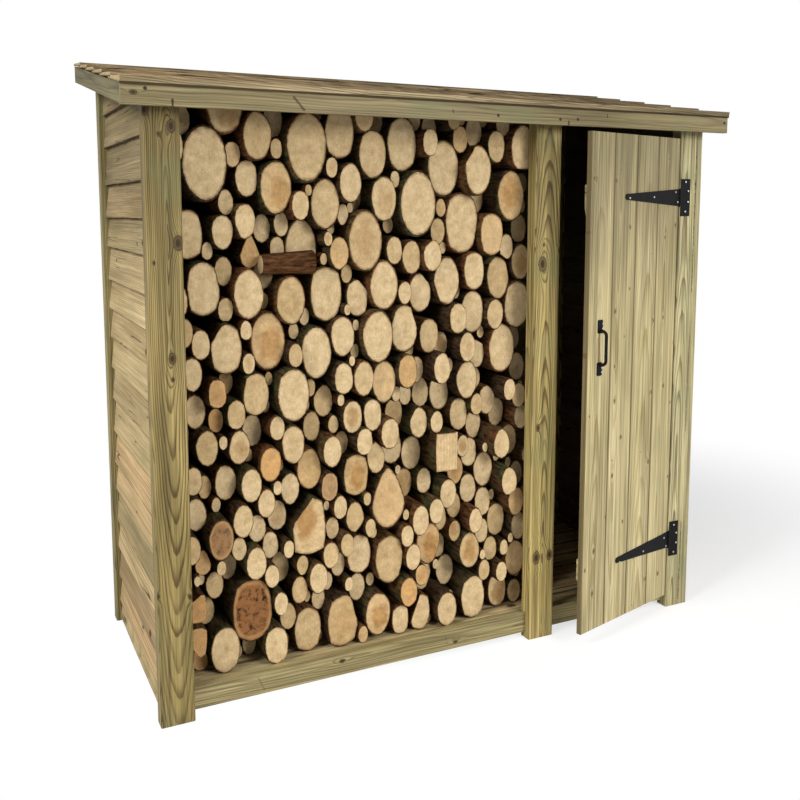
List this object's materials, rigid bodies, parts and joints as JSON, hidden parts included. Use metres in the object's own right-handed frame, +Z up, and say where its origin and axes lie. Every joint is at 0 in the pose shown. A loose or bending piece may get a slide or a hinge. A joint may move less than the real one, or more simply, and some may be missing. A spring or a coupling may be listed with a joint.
{
  "type": "log store",
  "caption": "Open-fronted timber log store with a stacked log bay, a tool cupboard behind a boarded door, lapped board walls and a lapped pent roof.",
  "frame": {"origin": "on the ground, midway across the width, at the middle of the overall depth with the door ajar", "axes": "+Z up, +X towards the tool cupboard's side, and the open front faces -Y"},
  "size_m": [1.95, 0.9217, 1.8351],
  "materials": {
    "planed_timber": "planed pressure-treated softwood",
    "rough_boards": "rough-sawn softwood boards",
    "door_timber": "planed matchboard",
    "ironmongery": "black powder coat",
    "firewood": "sawn billet ends with bark"
  },
  "bodies": {
    "store": {"front_left_post": "planed_timber", "front_middle_post": "planed_timber", "front_right_post": "planed_timber", "back_left_post": "planed_timber", "back_middle_post": "planed_timber", "back_right_post": "planed_timber", "front_top_rail": "planed_timber", "back_top_rail": "planed_timber", "left_rafter": "planed_timber", "middle_rafter": "planed_timber", "right_rafter": "planed_timber", "log_bay_sill": "planed_timber", "cupboard_sill": "planed_timber", "log_bay_back_sill": "planed_timber", "cupboard_back_sill": "planed_timber", "left_bottom_rail": "planed_timber", "right_bottom_rail": "planed_timber", "log_bay_bearer": "planed_timber", "middle_bearer": "planed_timber", "log_bay_floor": "rough_boards", "cupboard_floor": "rough_boards", "left_wall": "rough_boards", "right_wall": "rough_boards", "log_bay_back_wall": "rough_boards", "cupboard_back_wall": "rough_boards", "roof_boards": "rough_boards", "front_fascia": "planed_timber", "left_barge_board": "planed_timber", "right_barge_board": "planed_timber", "back_fascia": "planed_timber", "upper_hinge_flap": "ironmongery", "lower_hinge_flap": "ironmongery", "firewood_layer_1": "firewood", "firewood_layer_2": "firewood", "firewood_layer_3": "firewood", "firewood_layer_4": "firewood", "firewood_layer_5": "firewood", "firewood_layer_6": "firewood", "crosswise_billet": "firewood"},
    "door": {"door_boards": "door_timber", "upper_door_ledge": "planed_timber", "lower_door_ledge": "planed_timber", "door_brace": "planed_timber", "upper_hinge_strap": "ironmongery", "lower_hinge_strap": "ironmongery", "door_handle": "ironmongery"}
  },
  "joints": [
    {"name": "door_swing", "type": "hinge", "parent": "store", "child": "door", "pos_m": [0.8215, -0.3295, 0.83], "axis": [0, 0, 1], "range_deg": [-15, 150]}
  ]
}
